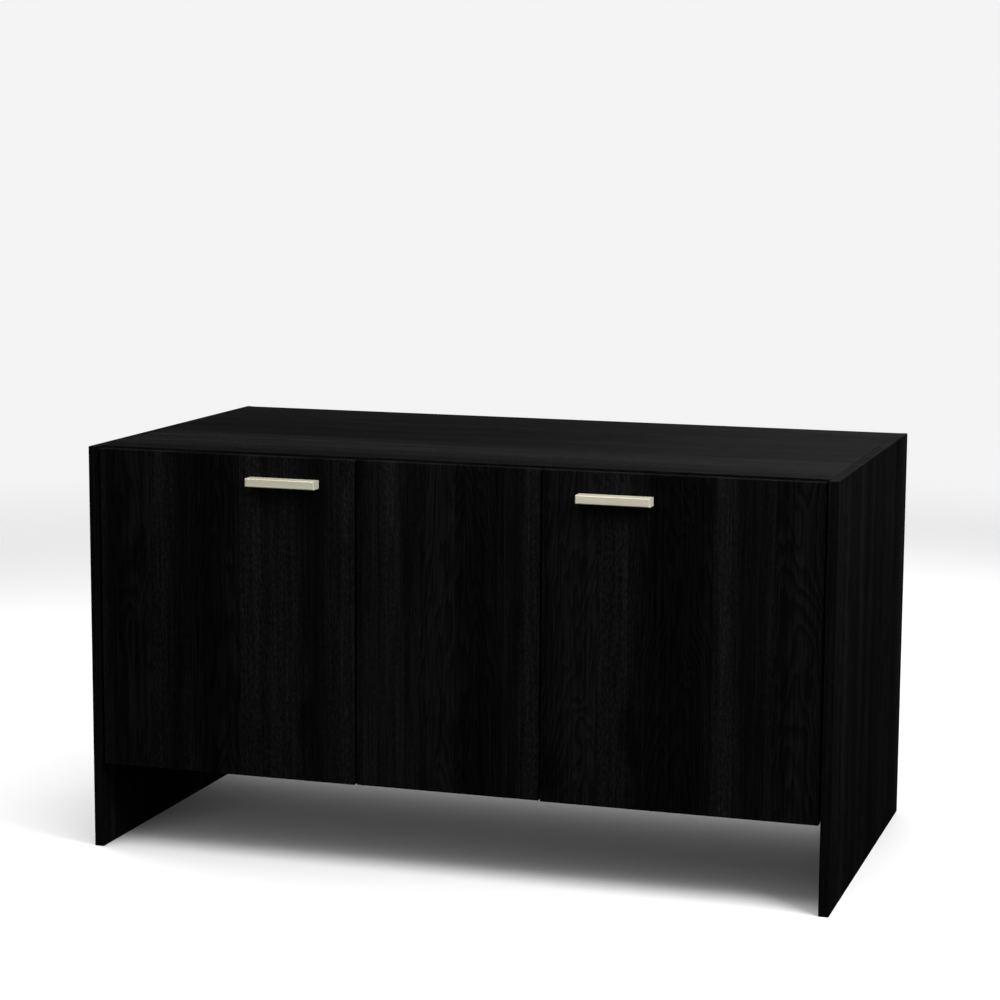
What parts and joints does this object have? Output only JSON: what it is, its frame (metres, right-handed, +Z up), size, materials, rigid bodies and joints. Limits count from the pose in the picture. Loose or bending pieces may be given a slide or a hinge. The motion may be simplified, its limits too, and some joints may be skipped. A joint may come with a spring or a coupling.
{
  "type": "aquarium stand cabinet",
  "caption": "Low black wood-grain aquarium stand on two panel legs, with inset doors beside a fixed centre panel, finger-pull handles and an open floor gap.",
  "frame": {"origin": "on the floor, under the middle of the whole outline with the handles", "axes": "+X to the viewer's right along the cabinet's length, -Y out of the doors towards the viewer, +Z up"},
  "size_m": [1.15, 0.629, 0.625],
  "materials": {
    "black_board": "black wood-grain melamine on particle board, satin",
    "back_board": "black lacquered hardboard, matt",
    "champagne_metal": "brushed champagne nickel",
    "nickel_plated_steel": "bright nickel plate",
    "zinc_plated_steel": "bright zinc plate",
    "zinc_casting": "raw zinc die casting",
    "beech": "raw beech",
    "clear_bumper": "frosted soft plastic"
  },
  "bodies": {
    "carcass": {"back_panel_left": "back_board", "back_panel_nails": "zinc_plated_steel", "back_panel_right": "back_board", "bottom_panel": "black_board", "cam_bolts": "zinc_plated_steel", "cam_lock_nuts": "zinc_casting", "centre_front_panel": "black_board", "centre_partition": "black_board", "left_arm_screws": "zinc_plated_steel", "left_lower_hinge_arm": "nickel_plated_steel", "left_lower_hinge_plate": "nickel_plated_steel", "left_plate_screws": "zinc_plated_steel", "left_side_panel": "black_board", "left_upper_hinge_arm": "nickel_plated_steel", "left_upper_hinge_plate": "nickel_plated_steel", "right_arm_screws": "zinc_plated_steel", "right_lower_hinge_arm": "nickel_plated_steel", "right_lower_hinge_plate": "nickel_plated_steel", "right_plate_screws": "zinc_plated_steel", "right_side_panel": "black_board", "right_upper_hinge_arm": "nickel_plated_steel", "right_upper_hinge_plate": "nickel_plated_steel", "top_panel": "black_board", "wooden_dowels": "beech"},
    "left_door_leaf": {"left_door": "black_board", "left_handle": "champagne_metal", "left_handle_screws": "zinc_plated_steel", "left_door_bumpers": "clear_bumper", "left_cup_screws": "zinc_plated_steel", "left_lower_hinge_cup": "nickel_plated_steel", "left_lower_hinge_pin": "zinc_plated_steel", "left_upper_hinge_cup": "nickel_plated_steel", "left_upper_hinge_pin": "zinc_plated_steel"},
    "right_door_leaf": {"right_door": "black_board", "right_handle": "champagne_metal", "right_handle_screws": "zinc_plated_steel", "right_door_bumpers": "clear_bumper", "right_cup_screws": "zinc_plated_steel", "right_lower_hinge_cup": "nickel_plated_steel", "right_lower_hinge_pin": "zinc_plated_steel", "right_upper_hinge_cup": "nickel_plated_steel", "right_upper_hinge_pin": "zinc_plated_steel"}
  },
  "joints": [
    {"name": "left_door_hinge", "type": "hinge", "parent": "carcass", "child": "left_door_leaf", "pos_m": [-0.55, -0.2883, 0.377], "axis": [0, 0, -1], "range_deg": [0, 95]},
    {"name": "right_door_hinge", "type": "hinge", "parent": "carcass", "child": "right_door_leaf", "pos_m": [0.55, -0.2883, 0.377], "axis": [0, 0, 1], "range_deg": [0, 95]}
  ]
}
